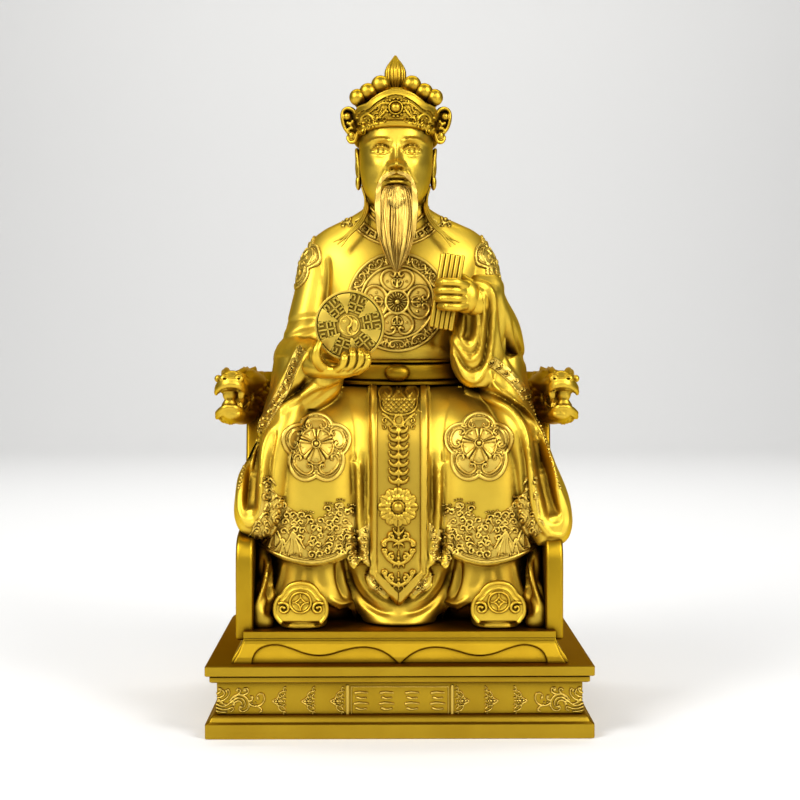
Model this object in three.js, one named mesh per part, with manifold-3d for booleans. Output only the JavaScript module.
// A seated god of wealth, cast in brass: a robed and bearded figure with a crown of pearls, on a
// throne whose arm rail ends in two dragon heads, on a moulded plinth. The raised left hand grips a
// roll of bamboo slips and the right hand holds a disc of fretwork. Millimetres, +Z up, the figure
// faces -Y, and the origin is under the middle of the plinth.
import * as THREE from 'three';
import { LoftGeometry } from 'three/addons/geometries/LoftGeometry.js';
import { mergeVertices } from 'three/addons/utils/BufferGeometryUtils.js';
import Module from 'manifold-3d';

const wasm = await Module();
wasm.setup();

// The figure and its throne keep their proportions as shares of the figure's height, measured from
// the platform that the shoes stand on: their forms are written in units of 1/376 of that height.
const FIGURE_HEIGHT = 376;
const UNIT = FIGURE_HEIGHT / 376;
const CLEARANCE = 0.35;

// Plinth, from the ground up.
const PLINTH_SIDE_MARGIN = 15.5;
const PLINTH_FRONT_MARGIN = 9.4;
const PLINTH_BACK_MARGIN = 10.4;
const BOTTOM_SLAB_HEIGHT = 9.6;
const LOWER_MOULDING_HEIGHT = 4.4;
const DADO_HEIGHT = 20.6;
const UPPER_MOULDING_HEIGHT = 4.2;
const TOP_SLAB_HEIGHT = 6.6;
const MOULDING_INSET = 2.4;
const DADO_INSET = 6.8;
const BACK_CORNER_RADIUS = 22;
const FRONT_CORNER_RADIUS = 1.5;
const PANEL_WIDTH = 66;
const PANEL_RIM = 2;
const RELIEF = 1.2;

// Throne.
const BOARD_THICKNESS = 11;
const BACK_THICKNESS = 5;
const SLAB_INSET = 5.2;
const PLATFORM_SLAB_HEIGHT = 4.4;
const APRON_HEIGHT = 14.3;
const FOOT_FLARE = 7;
const SLAB_FRONT = 80 * UNIT;
const BOARD_FRONT = 76 * UNIT;
const THRONE_BACK = 79 * UNIT;
const BOARD_TOP = 60 * UNIT;
const BOARD_CORNER_RADIUS = 26 * UNIT;
const RAIL_RADIUS = 8.6 * UNIT;
const RAIL_HEIGHT = 152 * UNIT;

// Held things.
const DISC_RADIUS = 22.2;
const DISC_THICKNESS = 3;
const DISC_HUB_RADIUS = 6;
const FRET_COUNT = 6;
const FRET_RELIEF = 0.9;
const SCROLL_WIDTH = 15.6;
const SCROLL_DEPTH = 9;
const SCROLL_LENGTH = 49.4;
const SLIP_COUNT = 5;

const PLINTH_HEIGHT = BOTTOM_SLAB_HEIGHT + LOWER_MOULDING_HEIGHT + DADO_HEIGHT
  + UPPER_MOULDING_HEIGHT + TOP_SLAB_HEIGHT;
const PLATFORM_TOP = PLINTH_HEIGHT + CLEARANCE + APRON_HEIGHT + PLATFORM_SLAB_HEIGHT;
const ROBE_HALF_WIDTH = 92.2 * UNIT;
const BOARD_INNER = ROBE_HALF_WIDTH + CLEARANCE;
const BOARD_OUTER = BOARD_INNER + BOARD_THICKNESS;
const FOOT_HALF_WIDTH = BOARD_OUTER + 0.28 * FOOT_FLARE;
const DRAGON_X = (BOARD_INNER + BOARD_OUTER) / 2 + 2.6 * UNIT;
const FOOT_FRONT = SLAB_FRONT + 0.8 * FOOT_FLARE;
const PLINTH_HALF_WIDTH = FOOT_HALF_WIDTH + PLINTH_SIDE_MARGIN;
const PLINTH_FRONT = -(FOOT_FRONT + PLINTH_FRONT_MARGIN);
const PLINTH_BACK = THRONE_BACK + 0.8 * FOOT_FLARE + PLINTH_BACK_MARGIN;
const PLINTH_MIDDLE = (PLINTH_FRONT + PLINTH_BACK) / 2;

const brass = (color, roughness) =>
  new THREE.MeshStandardMaterial({ color, roughness, metalness: 1 });

// Solids.

function solidOf(geometry) {
  const bare = new THREE.BufferGeometry();
  bare.setAttribute('position', geometry.attributes.position);
  bare.setIndex(geometry.index);
  const welded = mergeVertices(bare, 1e-3);
  const triVerts = new Uint32Array(welded.index.array);
  const make = () => new wasm.Manifold(new wasm.Mesh({
    numProp: 3, vertProperties: welded.attributes.position.array, triVerts,
  }));
  const solid = make();
  if (solid.volume() > 0) return solid;
  for (let i = 0; i < triVerts.length; i += 3) {
    [triVerts[i + 1], triVerts[i + 2]] = [triVerts[i + 2], triVerts[i + 1]];
  }
  return make();
}

function joined(geometries) {
  return geometries.map(solidOf).reduce((whole, solid) => whole.add(solid));
}

function meshOf(name, solid, material) {
  const data = solid.getMesh();
  const count = data.numVert;
  const positions = new Float32Array(count * 3);
  for (let i = 0; i < count; i++) {
    const from = i * data.numProp;
    positions.set(data.vertProperties.subarray(from, from + 3), i * 3);
  }
  const geometry = new THREE.BufferGeometry();
  geometry.setAttribute('position', new THREE.BufferAttribute(positions, 3));
  geometry.setIndex(new THREE.BufferAttribute(data.triVerts, 1));
  geometry.computeVertexNormals();
  const mesh = new THREE.Mesh(geometry, material);
  mesh.name = name;
  return mesh;
}

// A closed ring in a level plane: a is its half width, front and back its reach in Y, and a higher
// power makes it squarer. shape bends each point's own height or place.
function levelRing({ x = 0, z, a, front, back, power = 2.4 }, sides, shape = (point) => point) {
  const middle = (front + back) / 2;
  const b = (back - front) / 2;
  const points = [];
  for (let i = 0; i < sides; i++) {
    const angle = 2 * Math.PI * i / sides;
    const c = Math.cos(angle);
    const s = Math.sin(angle);
    const r = (Math.abs(c) ** power + Math.abs(s) ** power) ** (-1 / power);
    points.push(shape(new THREE.Vector3(x + a * r * c, middle + b * r * s, z)));
  }
  return points;
}

const middleOf = (ring) => ring
  .reduce((sum, point) => sum.add(point), new THREE.Vector3())
  .divideScalar(ring.length);

// A skin through rings of points, closed at both ends. The rings have to run counterclockwise as
// seen from the last one, so they are turned round when they don't.
function loftOf(rings) {
  const start = middleOf(rings[0]);
  const turning = rings[0].reduce((sum, point, i) => {
    const next = rings[0][(i + 1) % rings[0].length];
    return sum.add(point.clone().sub(start).cross(next.clone().sub(start)));
  }, new THREE.Vector3());
  const ahead = middleOf(rings[1]).sub(start);
  const ordered = turning.dot(ahead) > 0 ? rings : rings.map((ring) => ring.slice().reverse());
  return new LoftGeometry(ordered, { capStart: true, capEnd: true });
}

function levelLoft(stations, sides, shape) {
  return loftOf(stations.map((station) => levelRing(station, sides, shape)));
}

// A limb: oval sections across a path, each { at: [x, y, z], a, b }, a across and b along up.
function limb(stations, sides, up = new THREE.Vector3(0, 0, 1)) {
  const places = stations.map((station) => new THREE.Vector3(...station.at));
  const rings = stations.map((station, i) => {
    const ahead = places[Math.min(i + 1, places.length - 1)];
    const behind = places[Math.max(i - 1, 0)];
    const along = ahead.clone().sub(behind).normalize();
    const across = new THREE.Vector3().crossVectors(along, up).normalize();
    const rise = new THREE.Vector3().crossVectors(across, along);
    return Array.from({ length: sides }, (_, k) => {
      const angle = 2 * Math.PI * k / sides;
      return places[i].clone()
        .addScaledVector(across, station.a * Math.cos(angle))
        .addScaledVector(rise, (station.b ?? station.a) * Math.sin(angle));
    });
  });
  return loftOf(rings);
}

function mirrored(geometry) {
  const copy = new THREE.BufferGeometry();
  copy.setAttribute('position', geometry.attributes.position.clone());
  copy.setIndex(geometry.index);
  return copy.scale(-1, 1, 1);
}

const bothSides = (geometry) => [geometry, mirrored(geometry)];

function ball(radius, [x, y, z], [sx, sy, sz] = [1, 1, 1]) {
  return new THREE.SphereGeometry(radius, 6, 4).scale(sx, sy, sz).translate(x, y, z);
}

function block(width, depth, height, [x, y, z]) {
  return new THREE.BoxGeometry(width, depth, height).translate(x, y, z);
}

// A plate whose outline is drawn in X and Z, as thick as depth, with its front at front.
function frontPlate(outline, front, depth) {
  const geometry = new THREE.ExtrudeGeometry(outline, {
    depth, bevelEnabled: false, curveSegments: 3,
  });
  return geometry.rotateX(Math.PI / 2).translate(0, front + depth, 0);
}

function ringOutline(radius, sides) {
  const outline = new THREE.Shape();
  outline.setFromPoints(Array.from({ length: sides }, (_, i) => {
    const angle = 2 * Math.PI * i / sides;
    return new THREE.Vector2(radius * Math.cos(angle), radius * Math.sin(angle));
  }));
  return outline;
}

// Plinth.

function plinthOutline(inset) {
  const half = PLINTH_HALF_WIDTH - inset;
  const front = PLINTH_FRONT + inset;
  const back = PLINTH_BACK - inset;
  const round = BACK_CORNER_RADIUS;
  const small = FRONT_CORNER_RADIUS;
  const outline = new THREE.Shape();
  outline.moveTo(-half + small, front);
  outline.lineTo(half - small, front);
  outline.absarc(half - small, front + small, small, -Math.PI / 2, 0, false);
  outline.absarc(half - round, back - round, round, 0, Math.PI / 2, false);
  outline.absarc(-half + round, back - round, round, Math.PI / 2, Math.PI, false);
  outline.absarc(-half + small, front + small, small, Math.PI, 1.5 * Math.PI, false);
  return outline;
}

// The moulded sides are one skin through outlines at each level, one above the other.
function plinthBody() {
  const levels = [];
  let z = 0;
  const course = (height, lower, upper = lower) => {
    levels.push([z, lower], [z + height, upper]);
    z += height;
  };
  course(BOTTOM_SLAB_HEIGHT, 0.9);
  course(LOWER_MOULDING_HEIGHT, MOULDING_INSET + 0.7, DADO_INSET);
  course(DADO_HEIGHT, DADO_INSET);
  course(UPPER_MOULDING_HEIGHT, DADO_INSET, MOULDING_INSET);
  course(TOP_SLAB_HEIGHT, 0);
  const ledge = 0.02;
  return loftOf(levels.map(([level, inset], i) => {
    const lift = i > 0 && i % 2 === 0 ? ledge : 0;
    return plinthOutline(inset).getPoints(3).slice(0, -1)
      .map(({ x, y }) => new THREE.Vector3(x, y - PLINTH_MIDDLE, level + lift));
  }));
}

const dadoBottom = BOTTOM_SLAB_HEIGHT + LOWER_MOULDING_HEIGHT;
const dadoMiddle = dadoBottom + DADO_HEIGHT / 2;

// A panel frame with four raised groups of strokes, and pendants and corner leaves beside it.
function plinthRelief() {
  const face = PLINTH_FRONT + DADO_INSET - PLINTH_MIDDLE;
  const thick = 2 * RELIEF;
  const put = (width, height, x, z) => block(width, thick, height, [x, face, z]);
  const rimHeight = DADO_HEIGHT - 2 * PANEL_RIM;
  const half = PANEL_WIDTH / 2;
  const pieces = [];
  for (const side of [-1, 1]) {
    pieces.push(put(PANEL_RIM, rimHeight, side * half, dadoMiddle));
    pieces.push(put(PANEL_WIDTH, PANEL_RIM / 2, 0, dadoMiddle + side * rimHeight / 2));
  }
  const strokePitch = PANEL_WIDTH / 4;
  for (let i = 0; i < 4; i++) {
    const x = -half + (i + 0.5) * strokePitch;
    pieces.push(put(1.2, 0.55 * rimHeight, x - 2.2, dadoMiddle));
    pieces.push(put(1.2, 0.45 * rimHeight, x + 2.4, dadoMiddle - 0.6));
    pieces.push(put(8, 1.2, x, dadoMiddle + 1.6));
  }
  const reach = PLINTH_HALF_WIDTH - DADO_INSET;
  const pendantPitch = (reach - half) / 4.6;
  for (const side of [-1, 1]) {
    for (let i = 0; i < 3; i++) {
      const root = half + 3 + i * pendantPitch;
      const leaf = new THREE.Shape();
      leaf.moveTo(side * root, -DADO_HEIGHT / 2 + 0.2);
      leaf.lineTo(side * (root + 7), 0);
      leaf.lineTo(side * root, DADO_HEIGHT / 2 - 0.2);
      leaf.lineTo(side * (root + 1.6), 0);
      pieces.push(frontPlate(leaf, face - RELIEF, thick).translate(0, 0, dadoMiddle));
    }
    const leafReach = 0.31 * reach;
    const corner = new THREE.Shape();
    corner.moveTo(side * (reach - 0.4), -0.42 * DADO_HEIGHT);
    corner.lineTo(side * (reach - leafReach), -0.22 * DADO_HEIGHT);
    corner.lineTo(side * (reach - 0.8 * leafReach), 0.02 * DADO_HEIGHT);
    corner.lineTo(side * (reach - leafReach), 0.26 * DADO_HEIGHT);
    corner.lineTo(side * (reach - 0.4), 0.42 * DADO_HEIGHT);
    pieces.push(frontPlate(corner, face - 0.6 * RELIEF, thick).translate(0, 0, dadoMiddle));
  }
  return pieces;
}

function plinth() {
  return joined([plinthBody(), ...plinthRelief()]);
}

// Throne. grow makes it larger all round, as the tool that clears its room out of the figure.

function sideBoard(grow) {
  const low = PLINTH_HEIGHT + CLEARANCE + 4;
  const shoulder = PLATFORM_TOP + BOARD_TOP;
  const round = BOARD_CORNER_RADIUS;
  const front = -BOARD_FRONT - grow;
  const rail = PLATFORM_TOP + RAIL_HEIGHT;
  const outline = new THREE.Shape();
  outline.moveTo(front, low);
  outline.lineTo(front, shoulder - round);
  outline.quadraticCurveTo(front + UNIT, shoulder - 2 * UNIT, front + round, shoulder + grow);
  outline.quadraticCurveTo(-4 * UNIT - grow, shoulder + 14 * UNIT, 4 * UNIT - grow, shoulder + 46 * UNIT);
  outline.lineTo(6 * UNIT - grow, rail);
  outline.lineTo(THRONE_BACK, rail);
  outline.lineTo(THRONE_BACK, low);
  const plate = new THREE.ExtrudeGeometry(outline, {
    depth: BOARD_THICKNESS + 2 * grow, bevelEnabled: false, curveSegments: 6,
  });
  const place = new THREE.Matrix4().makeBasis(
    new THREE.Vector3(0, 1, 0), new THREE.Vector3(0, 0, 1), new THREE.Vector3(1, 0, 0),
  );
  return plate.applyMatrix4(place).translate(BOARD_INNER - grow, 0, 0);
}

// The rail runs level round the back from dragon head to dragon head.
function railPath() {
  const x = DRAGON_X;
  const turn = 30 * UNIT;
  const back = THRONE_BACK - RAIL_RADIUS + UNIT;
  const points = [[-x, -8 * UNIT], [-x, 14 * UNIT], [-x, back - turn]];
  for (let i = 1; i <= 3; i++) {
    const angle = Math.PI - Math.PI / 2 * i / 3;
    points.push([-x + turn + turn * Math.cos(angle), back - turn + turn * Math.sin(angle)]);
  }
  const right = points.slice().reverse().map(([px, py]) => [-px, py]);
  return [...points, ...right];
}

function rail(grow) {
  const radius = RAIL_RADIUS + grow;
  const z = PLATFORM_TOP + RAIL_HEIGHT;
  return limb(railPath().map(([x, y]) => ({ at: [x, y, z], a: radius, b: radius })), 8);
}

function backBoard() {
  const z0 = PLINTH_HEIGHT + CLEARANCE + 4;
  const z1 = PLATFORM_TOP + RAIL_HEIGHT;
  return block(2 * BOARD_OUTER, BACK_THICKNESS, z1 - z0,
    [0, THRONE_BACK - BACK_THICKNESS / 2, (z0 + z1) / 2]);
}

function throneBase() {
  const bottom = PLINTH_HEIGHT + CLEARANCE;
  const rows = [[0, 1], [0.28, 0.86], [0.6, 0.42], [0.85, 0.1], [1, 0]];
  const rings = rows.map(([share, flare]) => {
    const halfWidth = BOARD_OUTER - SLAB_INSET + (FOOT_HALF_WIDTH - BOARD_OUTER + SLAB_INSET) * flare;
    const front = -(SLAB_FRONT + (FOOT_FRONT - SLAB_FRONT) * flare) + 0.8;
    const back = THRONE_BACK + (FOOT_FRONT - SLAB_FRONT) * flare;
    const z = bottom + share * (APRON_HEIGHT + 0.2);
    return [
      new THREE.Vector3(-halfWidth, front, z), new THREE.Vector3(halfWidth, front, z),
      new THREE.Vector3(halfWidth, back, z), new THREE.Vector3(-halfWidth, back, z),
    ];
  });
  const slab = block(2 * (BOARD_OUTER - SLAB_INSET), SLAB_FRONT + THRONE_BACK, PLATFORM_SLAB_HEIGHT,
    [0, (THRONE_BACK - SLAB_FRONT) / 2, PLATFORM_TOP - PLATFORM_SLAB_HEIGHT / 2]);
  return [loftOf(rings), slab];
}

// The cusped hollow cut into the front of the base.
function apronHollow() {
  const bottom = PLINTH_HEIGHT + CLEARANCE;
  const half = BOARD_OUTER - 12 * UNIT;
  const rise = 0.72 * APRON_HEIGHT;
  const crest = half - 34 * UNIT;
  const dip = 24 * UNIT;
  const outline = new THREE.Shape();
  outline.moveTo(-half, -2);
  outline.bezierCurveTo(-half + 4 * UNIT, 0.9 * rise, -half + 22 * UNIT, rise, -crest, rise);
  outline.bezierCurveTo(-half + 52 * UNIT, rise, -dip, 0.3 * rise, 0, 0.62 * rise);
  outline.bezierCurveTo(dip, 0.3 * rise, half - 52 * UNIT, rise, crest, rise);
  outline.bezierCurveTo(half - 22 * UNIT, rise, half - 4 * UNIT, 0.9 * rise, half, -2);
  const deep = FOOT_FRONT - SLAB_FRONT + 3;
  return frontPlate(outline, -FOOT_FRONT - 1, deep).translate(0, 0, bottom);
}

// A dragon head at the end of the rail: upper jaw, lower jaw, a bobbin in the open mouth, eyes and
// swept horns. The head turns outward a little.
function dragonHead() {
  const x = DRAGON_X;
  const z = PLATFORM_TOP + RAIL_HEIGHT;
  const outward = (y) => 5.4 * Math.min(Math.max((14 - y) / 65, 0), 1);
  const at = (y, dz, dx = 0) => [x + (dx + outward(y)) * UNIT, y * UNIT, z + dz * UNIT];
  const part = (stations, sides) => limb(stations.map(({ at: middle, a, b }) => (
    { at: middle, a: a * UNIT, b: b * UNIT })), sides);
  const upper = part([
    { at: at(14, -1), a: 9, b: 8 }, { at: at(0, 0), a: 13, b: 10.5 },
    { at: at(-18, 2), a: 13.5, b: 8.5 }, { at: at(-34, 2.4), a: 12.5, b: 5.6 },
    { at: at(-46, 1.6), a: 13, b: 4.2 }, { at: at(-51, 0.4), a: 9, b: 2.4 },
  ], 8);
  const lower = part([
    { at: at(4, -10), a: 9, b: 8 }, { at: at(-14, -19), a: 9.5, b: 7 },
    { at: at(-32, -23), a: 9, b: 4 }, { at: at(-44, -24), a: 9.4, b: 4.6 },
    { at: at(-49, -26), a: 6, b: 3 },
  ], 7);
  const throat = part([
    { at: at(16, -30), a: 4, b: 10 }, { at: at(4, -18), a: 7, b: 12 },
    { at: at(-10, -8), a: 9, b: 9 },
  ], 8);
  const profile = [[0, -11], [6.4, -11], [4.6, -7.5], [6.6, -4], [6.8, 1], [5, 5], [0, 5]];
  const bobbin = new THREE.LatheGeometry(profile.map(([r, h]) => new THREE.Vector2(r * UNIT, h * UNIT)), 8)
    .rotateX(Math.PI / 2).translate(...at(-40, -9));
  const pieces = [upper, lower, throat, bobbin];
  for (const side of [-1, 1]) {
    pieces.push(ball(4.4 * UNIT, at(-22, 9.5, side * 8), [1.1, 1.5, 0.8]));
    pieces.push(part([
      { at: at(-16, 9, side * 7), a: 3, b: 3 }, { at: at(0, 12, side * 9), a: 2.4, b: 2.4 },
      { at: at(12, 11, side * 10), a: 1, b: 1 },
    ], 6));
  }
  return pieces;
}

// The room that each head takes out of the sleeve beside it.
function headRoom() {
  const middle = PLATFORM_TOP + RAIL_HEIGHT - 5 * UNIT;
  return block(27.6 * UNIT, 76 * UNIT, 50 * UNIT, [DRAGON_X, -16 * UNIT, middle]);
}

function throne() {
  const pieces = [
    ...throneBase(), ...bothSides(sideBoard(0)), backBoard(), rail(0),
    ...dragonHead(), ...dragonHead().map(mirrored),
  ];
  return joined(pieces).subtract(solidOf(apronHollow()));
}

// Figure, in figure units from the platform up.

const torsoStations = [
  { z: 120, a: 58, front: -29, back: 54 }, { z: 160, a: 50, front: -27, back: 46 },
  { z: 188, a: 53, front: -27, back: 43 }, { z: 212, a: 57, front: -25, back: 42 },
  { z: 232, a: 61, front: -22, back: 41 }, { z: 244, a: 61.5, front: -18, back: 40 },
  { z: 254, a: 54, front: -13, back: 36 }, { z: 263, a: 39, front: -11, back: 29 },
  { z: 268, a: 28, front: -12, back: 25 }, { z: 273, a: 21, front: -12, back: 22 },
];
const legStations = [
  { z: 39, x: 55, a: 36.4, front: -68, back: 4 }, { z: 58, x: 55, a: 35.6, front: -67, back: 4 },
  { z: 86, x: 54.5, a: 34.6, front: -66, back: 4 },
  { z: 106, x: 54, a: 34.2, front: -64.6, back: 4 },
  { z: 120, x: 53, a: 33.4, front: -60.5, back: 6 },
  { z: 131, x: 52, a: 31, front: -53.5, back: 8 },
  { z: 139, x: 50, a: 26, front: -44, back: 10 },
  { z: 146, x: 44, a: 22, front: -34, back: 12 }, { z: 152, x: 36, a: 17, front: -28.5, back: 12 },
];
const grown = (stations, by) => stations.map((station) => ({
  ...station, a: station.a + by, front: station.front - by,
}));
const HEM_RISE = 0.012;
const HEM_TOP = 100;

// The robe's lower edge hangs in a curve over each shin.
function hemCurve(point) {
  const off = point.x - legStations[0].x;
  const fade = Math.max(0, (HEM_TOP - point.z) / (HEM_TOP - legStations[0].z));
  point.z += HEM_RISE * off * off * fade;
  return point;
}

const robeLeg = (by = 0) => levelLoft(grown(legStations, by), 16, hemCurve);
const torso = (by = 0) => levelLoft(grown(torsoStations, by), 16);

// What is raised on a curved form: a skin just proud of it, kept only inside a cutter.
function raised(skin, cutter) {
  return solidOf(skin).intersect(solidOf(cutter));
}

function seatedMass() {
  return levelLoft([
    { z: 0, a: 84, front: -40, back: 70, power: 4 }, { z: 60, a: 90, front: -34, back: 70, power: 4 },
    { z: 112, a: 90, front: -30, back: 68, power: 3.4 },
    { z: 132, a: 84, front: -24, back: 64, power: 3 }, { z: 142, a: 64, front: -18, back: 58 },
  ], 12);
}

function underRobe() {
  return levelLoft([
    { z: 0, x: 60, a: 31, front: -61, back: -8 }, { z: 8, x: 59, a: 30, front: -62, back: -8 },
    { z: 22, x: 58, a: 27, front: -61, back: -8 }, { z: 46, x: 56, a: 27, front: -60, back: -8 },
    { z: 60, x: 56, a: 26, front: -58, back: -8 },
  ], 12);
}

function middleRobe() {
  return levelLoft([
    { z: 0, a: 34, front: -66, back: -20 }, { z: 4, a: 33, front: -65, back: -20 },
    { z: 12, a: 28, front: -60, back: -20 }, { z: 34, a: 27, front: -56, back: -20 },
    { z: 80, a: 27, front: -55, back: -20 }, { z: 120, a: 26, front: -53, back: -18 },
    { z: 140, a: 24, front: -42, back: -16 },
  ], 12);
}

// The long panel that hangs from the belt to a point between the knees.
const APRON_HALF_WIDTH = 18.4;
const apronPath = [
  [-29, 152], [-42, 147], [-54, 138], [-61, 125], [-64, 104], [-66, 70], [-67, 34], [-67.4, 15],
];

function apronStrip(inner, outer, proud) {
  const rings = apronPath.map(([y, z], i) => {
    const [y0, z0] = apronPath[Math.max(i - 1, 0)];
    const [y1, z1] = apronPath[Math.min(i + 1, apronPath.length - 1)];
    const length = Math.hypot(y1 - y0, z1 - z0);
    const [ny, nz] = [(z1 - z0) / length, -(y1 - y0) / length];
    const last = i === apronPath.length - 1;
    const reach = last ? 0.12 : 1;
    const corner = (x, depth) => new THREE.Vector3(x * reach, y + ny * depth, z + nz * depth);
    return [corner(inner, proud), corner(outer, proud), corner(outer, -6), corner(inner, -6)];
  });
  return loftOf(rings);
}

function apron() {
  const half = APRON_HALF_WIDTH;
  return [
    apronStrip(-half, half, 0), apronStrip(half - 3.8, half, 1.1), apronStrip(-half, -half + 3.8, 1.1),
  ];
}

// Arms: side is -1 for the right arm, which holds the disc, and 1 for the left.

function upperArm(side) {
  return limb([
    { at: [side * 43, 10, 246], a: 13, b: 13 }, { at: [side * 53, 10, 235], a: 18, b: 14 },
    { at: [side * 57, 8, 216], a: 20, b: 14.6 }, { at: [side * 61, 5, 194], a: 20, b: 16 },
    { at: [side * 65, 0, 172], a: 21, b: 18 }, { at: [side * 68, -6, 160], a: 15, b: 14 },
  ], 8, new THREE.Vector3(side, 0, 0));
}

const wristOf = { '-1': [-50, -58, 164], 1: [54, -50, 212] };

function foreArm(side) {
  const [wx, wy, wz] = wristOf[side];
  const elbow = [side * 70, -2, 170];
  const mix = (t) => [elbow[0] + t * (wx - elbow[0]), elbow[1] + t * (wy - elbow[1]),
    elbow[2] + t * (wz - elbow[2])];
  return limb([
    { at: mix(0), a: 17, b: 18 }, { at: mix(0.45), a: 15.5, b: 16 }, { at: mix(0.8), a: 12, b: 13 },
    { at: mix(0.98), a: 10.5, b: 12 },
  ], 8);
}

// The hanging sleeve: oval sections down to its tip, with the mouth a deep groove in its front.
// The right one is a little shorter and lies closer.
const sleeveStations = [
  { x: 65, y: -18, z: 172, a: 17, b: 30, groove: 0 },
  { x: 69, y: -24, z: 150, a: 16, b: 32, groove: 0.2 },
  { x: 74, y: -34, z: 128, a: 14, b: 32, groove: 0.42 },
  { x: 84, y: -44, z: 104, a: 16, b: 28, groove: 0.52 },
  { x: 92, y: -53, z: 78, a: 18, b: 22, groove: 0.55 },
  { x: 96, y: -60, z: 62, a: 15.5, b: 15, groove: 0.45 },
  { x: 97, y: -63, z: 54, a: 11, b: 9, groove: 0.1 },
  { x: 97, y: -64, z: 51.5, a: 5, b: 4, groove: 0 },
];
const SHORTER_SLEEVE = 6;

function hangingSleeve(side) {
  const sides = 12;
  const mouth = -Math.PI / 2 - 0.25;
  const top = sleeveStations[0].z;
  const drop = top - sleeveStations[sleeveStations.length - 1].z;
  const rings = sleeveStations.map(({ x, y, z, a, b, groove }) => {
    const share = side < 0 ? (top - z) / drop : 0;
    return Array.from({ length: sides }, (_, k) => {
      const angle = 2 * Math.PI * k / sides;
      const off = Math.atan2(Math.sin(angle - mouth), Math.cos(angle - mouth));
      const r = 1 - groove * Math.exp(-((off / 0.42) ** 2));
      return new THREE.Vector3(
        side * (x - SHORTER_SLEEVE * share + a * r * Math.cos(angle)),
        y + b * r * Math.sin(angle),
        z + SHORTER_SLEEVE * share,
      );
    });
  });
  return loftOf(rings);
}

function finger(points, radius) {
  return limb(points.map((at, i) => ({ at, a: i === points.length - 1 ? 0.6 * radius : radius })), 5);
}

// The right hand lies palm up under the disc, with the finger tips in front of its rim.
function rightHand() {
  const pieces = [
    limb([{ at: [-52, -54, 164], a: 10, b: 9 }, { at: [-44, -62, 159], a: 12, b: 7 },
      { at: [-32, -66, 157], a: 11, b: 5 }, { at: [-25, -67, 158], a: 9, b: 4 }], 8),
    finger([[-48, -60, 162], [-51, -68, 168], [-50, -73, 176], [-48, -73, 180]], 3.3),
  ];
  for (let i = 0; i < 4; i++) {
    const x = -36 + 5.4 * i;
    const lift = 1.2 * Math.sin(Math.PI * (i + 0.5) / 4);
    pieces.push(finger([
      [x - 3, -70, 157], [x + 2.6, -74.5, 161 + lift], [x + 3, -73.5, 170 + lift],
    ], 3));
  }
  return pieces;
}

// The left hand wraps the roll of slips, four fingers across its front and the thumb behind.
function leftHand() {
  const pieces = [
    limb([{ at: [55, -50, 211], a: 10, b: 11 }, { at: [48, -56, 212], a: 9, b: 12 },
      { at: [42, -58, 212], a: 7, b: 11.6 }], 10, new THREE.Vector3(0, 0, 1)),
    finger([[46, -48, 216], [38, -42, 219], [29, -41, 220]], 3.4),
  ];
  for (let i = 0; i < 4; i++) {
    const z = 203.5 + 5.7 * i;
    const reach = [2, 0, 0.4, 2.6][i];
    pieces.push(finger([[45, -58, z], [33, -63, z + 0.8], [24 + reach, -59.6, z + 1.6]], 3.1));
  }
  return pieces;
}

// Shoes with a cloud-shaped toe cap on a thick sole.
function shoe() {
  const cap = new THREE.Shape();
  cap.moveTo(-15.4, 4);
  cap.bezierCurveTo(-18.4, 8, -18, 15, -13.4, 18);
  cap.bezierCurveTo(-11, 24, -7, 30, 0, 30.4);
  cap.bezierCurveTo(7, 30, 11, 24, 13.4, 18);
  cap.bezierCurveTo(18, 15, 18.4, 8, 15.4, 4);
  const toe = frontPlate(cap, -74, 16).translate(61.6, 0, 0);
  const sole = levelLoft([
    { z: 0, x: 61.6, a: 15.4, front: -73, back: -30 }, { z: 4.4, x: 61.6, a: 16.4, front: -74, back: -30 },
  ], 14);
  return [toe, sole];
}

const HEAD_Y = 0;
const headStations = [
  { z: 262, a: 16, front: -14, back: 20 }, { z: 271, a: 14, front: -26, back: 20 },
  { z: 276, a: 18, front: -28.5, back: 23 }, { z: 285, a: 22, front: -29.5, back: 26 },
  { z: 297, a: 25, front: -29, back: 28 }, { z: 311, a: 25.6, front: -29, back: 29 },
  { z: 325, a: 25, front: -28, back: 29 }, { z: 336, a: 20, front: -22, back: 24 },
];

function head() {
  const nose = limb([
    { at: [0, HEAD_Y - 27, 306], a: 2.2, b: 2 }, { at: [0, HEAD_Y - 30, 298], a: 2.6, b: 2.6 },
    { at: [0, HEAD_Y - 32.5, 291.5], a: 5.2, b: 3.2 }, { at: [0, HEAD_Y - 29, 288], a: 4, b: 1.6 },
  ], 8);
  const brow = limb([
    { at: [3, HEAD_Y - 29, 306], a: 1.6, b: 1.6 }, { at: [12, HEAD_Y - 27, 310], a: 2, b: 1.8 },
    { at: [21, HEAD_Y - 17, 307], a: 1.2, b: 1.2 },
  ], 6);
  const ear = ball(1, [27, 4, 297], [2.6, 6, 12.5]);
  return [levelLoft(headStations, 12), nose, ...bothSides(brow), ...bothSides(ear)];
}

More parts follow.
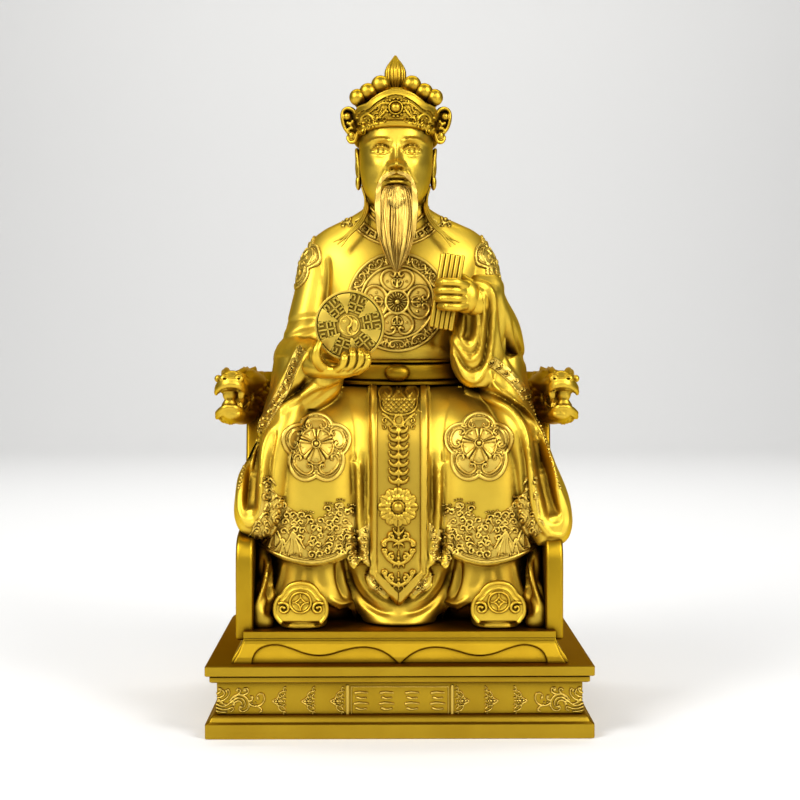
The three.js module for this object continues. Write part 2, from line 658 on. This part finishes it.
// The beard is one pointed lock, flat behind, and the moustache two thin ones beside the mouth.
function beard() {
  const lock = levelLoft([
    { z: 229, a: 1.2, front: -37.5, back: -34 }, { z: 236, a: 5, front: -39, back: -33 },
    { z: 250, a: 10.6, front: -39, back: -29 }, { z: 264, a: 13.4, front: -37.5, back: -24 },
    { z: 276, a: 11, front: -34, back: -22 }, { z: 282, a: 5, front: -31, back: -24 },
  ], 8);
  const whisker = limb([
    { at: [1.5, -31.6, 287], a: 1.4, b: 1.4 }, { at: [8, -30.8, 284], a: 1.9, b: 1.7 },
    { at: [13, -30, 276], a: 1.9, b: 1.9 }, { at: [14, -32, 262], a: 1.6, b: 1.6 },
    { at: [13.4, -36, 248], a: 0.8, b: 0.8 },
  ], 6);
  return [lock, ...bothSides(whisker)];
}

// The crown leans back: its band rises to a cusp in front and falls toward the nape.
const CROWN_SLOPE = 0.2;
const CUSP_RISE = 5.4;
const tipBack = (point) => {
  const front = point.y < 0 && point.z > 334;
  point.z += (front ? CUSP_RISE * Math.exp(-((point.x / 15) ** 2)) : 0) - CROWN_SLOPE * point.y;
  return point;
};

function crown() {
  const band = levelLoft([
    { z: 317, a: 27.4, front: -30.2, back: 30.4, power: 2.1 },
    { z: 321.4, a: 28.2, front: -31, back: 30.8, power: 2.1 },
    { z: 322.2, a: 27, front: -29.6, back: 29.6, power: 2.1 },
    { z: 336, a: 30.4, front: -31, back: 30, power: 2.1 },
    { z: 336.4, a: 25, front: -25, back: 25.4, power: 2.1 },
  ], 16, tipBack);
  const dome = levelLoft([
    { z: 326, a: 26, front: -26, back: 27 }, { z: 338, a: 28.4, front: -27, back: 28 },
    { z: 346, a: 24, front: -20, back: 24 }, { z: 352, a: 13, front: -10, back: 15 },
  ], 10, tipBack);
  const bud = new THREE.LatheGeometry(
    [[0, -8], [5.4, -3], [7.1, 6], [7, 11], [5, 18], [2.4, 22], [0, 23.6]]
      .map(([r, h]) => new THREE.Vector2(r, h)), 8,
  ).rotateX(Math.PI / 2).translate(0, 4, 351.4);
  const pearls = [[12.4, 353.6, 5], [21, 349, 4.8], [28, 344, 4]]
    .flatMap(([x, z, r]) => bothSides(ball(r, [x, -18 + 0.4 * x, z], [1, 1, 1.15])));
  const wing = limb([
    { at: [28, -8, 315], a: 3, b: 3 }, { at: [30.6, -9, 321], a: 4, b: 5 },
    { at: [32, -9, 330], a: 4.4, b: 6 }, { at: [32, -8, 337], a: 3, b: 4 },
  ], 6, new THREE.Vector3(0, 1, 0));
  const jewel = ball(4, [0, -31.4, 335.6]);
  return [band, dome, bud, jewel, ...pearls, ...bothSides(wing)];
}

function cords() {
  return bothSides(limb([
    { at: [24, -2, 282], a: 2, b: 2 }, { at: [23, -10, 268], a: 2.2, b: 1.8 },
    { at: [29, -15, 256], a: 2.6, b: 1.8 }, { at: [41, -21, 243], a: 0.8, b: 0.8 },
  ], 6, new THREE.Vector3(0, 1, 0)));
}

function belt() {
  const band = levelLoft([
    { z: 151, a: 55, front: -30.4, back: 50 }, { z: 155, a: 54, front: -31, back: 50 },
    { z: 167, a: 53.4, front: -30, back: 48 }, { z: 170, a: 53.4, front: -28.6, back: 48 },
  ], 18);
  return [band, ball(9.4, [0, -29.4, 162.6], [1, 0.45, 0.64])];
}

// Lobed badges on the knees, the round badge on the chest, and the carved hems.
function badges() {
  const cylinder = (radius, sides) => frontPlate(ringOutline(radius, sides), -90, 70);
  const knee = raised(robeLeg(1.3), cylinder(22.6, 16).translate(52.5, 0, 112.5));
  const mirror = raised(mirrored(robeLeg(1.3)), cylinder(22.6, 16).translate(-52.5, 0, 112.5));
  const chest = raised(torso(1.3), cylinder(32, 18).translate(0, 0, 207.5));
  const chestInner = raised(torso(2.4), cylinder(8, 10).translate(0, 0, 207.5));
  const waves = new THREE.Shape();
  waves.moveTo(10, 0);
  waves.lineTo(104, 0);
  waves.lineTo(104, 104);
  waves.lineTo(92, 104);
  waves.lineTo(84, 78);
  waves.lineTo(66, 69);
  waves.lineTo(46, 70);
  waves.lineTo(34, 84);
  waves.lineTo(20, 76);
  const hem = frontPlate(waves, -90, 95);
  const left = raised(robeLeg(1.5), hem);
  const right = raised(mirrored(robeLeg(1.5)), mirrored(hem));
  return [knee, mirror, chest, chestInner, left, right];
}

function figureForms() {
  const arms = [-1, 1].flatMap((side) => [upperArm(side), foreArm(side), hangingSleeve(side)]);
  const forms = [
    torso(), seatedMass(), ...bothSides(robeLeg()), ...bothSides(underRobe()), middleRobe(),
    ...apron(), ...arms, ...rightHand(), ...leftHand(), ...shoe(), ...shoe().map(mirrored),
    ...head(), ...beard(), ...cords(), ...belt(), ...crown(),
  ];
  return badges().reduce((sum, badge) => sum.add(badge), joined(forms));
}

// The held disc and roll, grown by grow when they clear their room out of the hands.

function discBody(grow) {
  const r = DISC_RADIUS + grow;
  const back = -DISC_THICKNESS / 2 - grow;
  const face = DISC_THICKNESS / 2;
  const proud = face + FRET_RELIEF + grow;
  const profile = grow > 0
    ? [[0, back], [r, back], [r, proud], [0, proud]]
    : [[0, back], [r, back], [r, proud], [r - 2, proud], [r - 2, face], [DISC_HUB_RADIUS, face],
      [DISC_HUB_RADIUS, proud], [0, proud]];
  return new THREE.LatheGeometry(profile.map(([x, y]) => new THREE.Vector2(x, y)), 18);
}

// Hooked bars of fretwork, raised on the front of the disc between its rim and its hub.
function discFret() {
  const middle = (DISC_RADIUS - 2 + DISC_HUB_RADIUS) / 2;
  const level = DISC_THICKNESS / 2 + FRET_RELIEF / 2 - 0.3;
  const pieces = [];
  for (let i = 0; i < FRET_COUNT; i++) {
    const angle = 2 * Math.PI * (i + 0.75) / FRET_COUNT;
    const bar = (length, width, r) => new THREE.BoxGeometry(length, FRET_RELIEF + 0.4, width)
      .translate(r, level, 0).rotateY(angle);
    pieces.push(bar(DISC_RADIUS - DISC_HUB_RADIUS - 5, 1.3, middle));
    pieces.push(bar(1.3, 8, middle + 2.2));
  }
  return pieces;
}

function disc(grow) {
  const pieces = [discBody(grow), ...(grow > 0 ? [] : discFret())];
  return joined(pieces.map((piece) => piece.rotateX(0.05).rotateZ(-0.12)
    .translate(-31.5 * UNIT, -69 * UNIT, PLATFORM_TOP + 169.9 * UNIT + DISC_RADIUS)));
}

// The roll's outline is scalloped by the round slips, front and back.
function scroll(grow) {
  const pitch = (SCROLL_WIDTH + 2 * grow) / SLIP_COUNT;
  const half = SCROLL_DEPTH / 2 - 0.3 * pitch + grow;
  const bulge = 0.42 * pitch;
  const outline = new THREE.Shape();
  outline.moveTo(-SLIP_COUNT * pitch / 2, -half);
  for (let i = 0; i < SLIP_COUNT; i++) {
    const x = (i - SLIP_COUNT / 2) * pitch;
    outline.bezierCurveTo(x, -half - bulge, x + pitch, -half - bulge, x + pitch, -half);
  }
  for (let i = SLIP_COUNT; i > 0; i--) {
    const x = (i - SLIP_COUNT / 2) * pitch;
    outline.lineTo(x, half);
    outline.bezierCurveTo(x, half + bulge, x - pitch, half + bulge, x - pitch, half);
  }
  const roll = new THREE.ExtrudeGeometry(outline, {
    depth: SCROLL_LENGTH + 2 * grow, bevelEnabled: false, curveSegments: 4,
  });
  return solidOf(roll.translate(0, 0, -SCROLL_LENGTH / 2 - grow).rotateY(0.165)
    .translate(30.5 * UNIT, -51.5 * UNIT, PLATFORM_TOP + 214 * UNIT));
}

function figure() {
  const lift = PLATFORM_TOP + CLEARANCE;
  const data = meshOf('form', figureForms(), brass(0xffffff, 1)).geometry;
  data.scale(UNIT, UNIT, UNIT).translate(0, 0, lift);
  const cutters = [
    ...bothSides(sideBoard(CLEARANCE)).map(solidOf), ...bothSides(headRoom()).map(solidOf),
    disc(CLEARANCE), scroll(CLEARANCE),
  ];
  const cut = cutters.reduce((solid, cutter) => solid.subtract(cutter), solidOf(data));
  const parts = cut.decompose();
  return parts.reduce((best, part) => (part.volume() > best.volume() ? part : best));
}

const statue = new THREE.Group();
statue.add(
  meshOf('plinth', plinth(), brass(0xb0862a, 0.42)),
  meshOf('throne', throne(), brass(0xb78d28, 0.4)),
  meshOf('figure', figure(), brass(0xc79a2c, 0.34)),
  meshOf('fretwork_disc', disc(0), brass(0xd0a53a, 0.38)),
  meshOf('bamboo_slips', scroll(0), brass(0xb98f30, 0.42)),
);

export default statue;
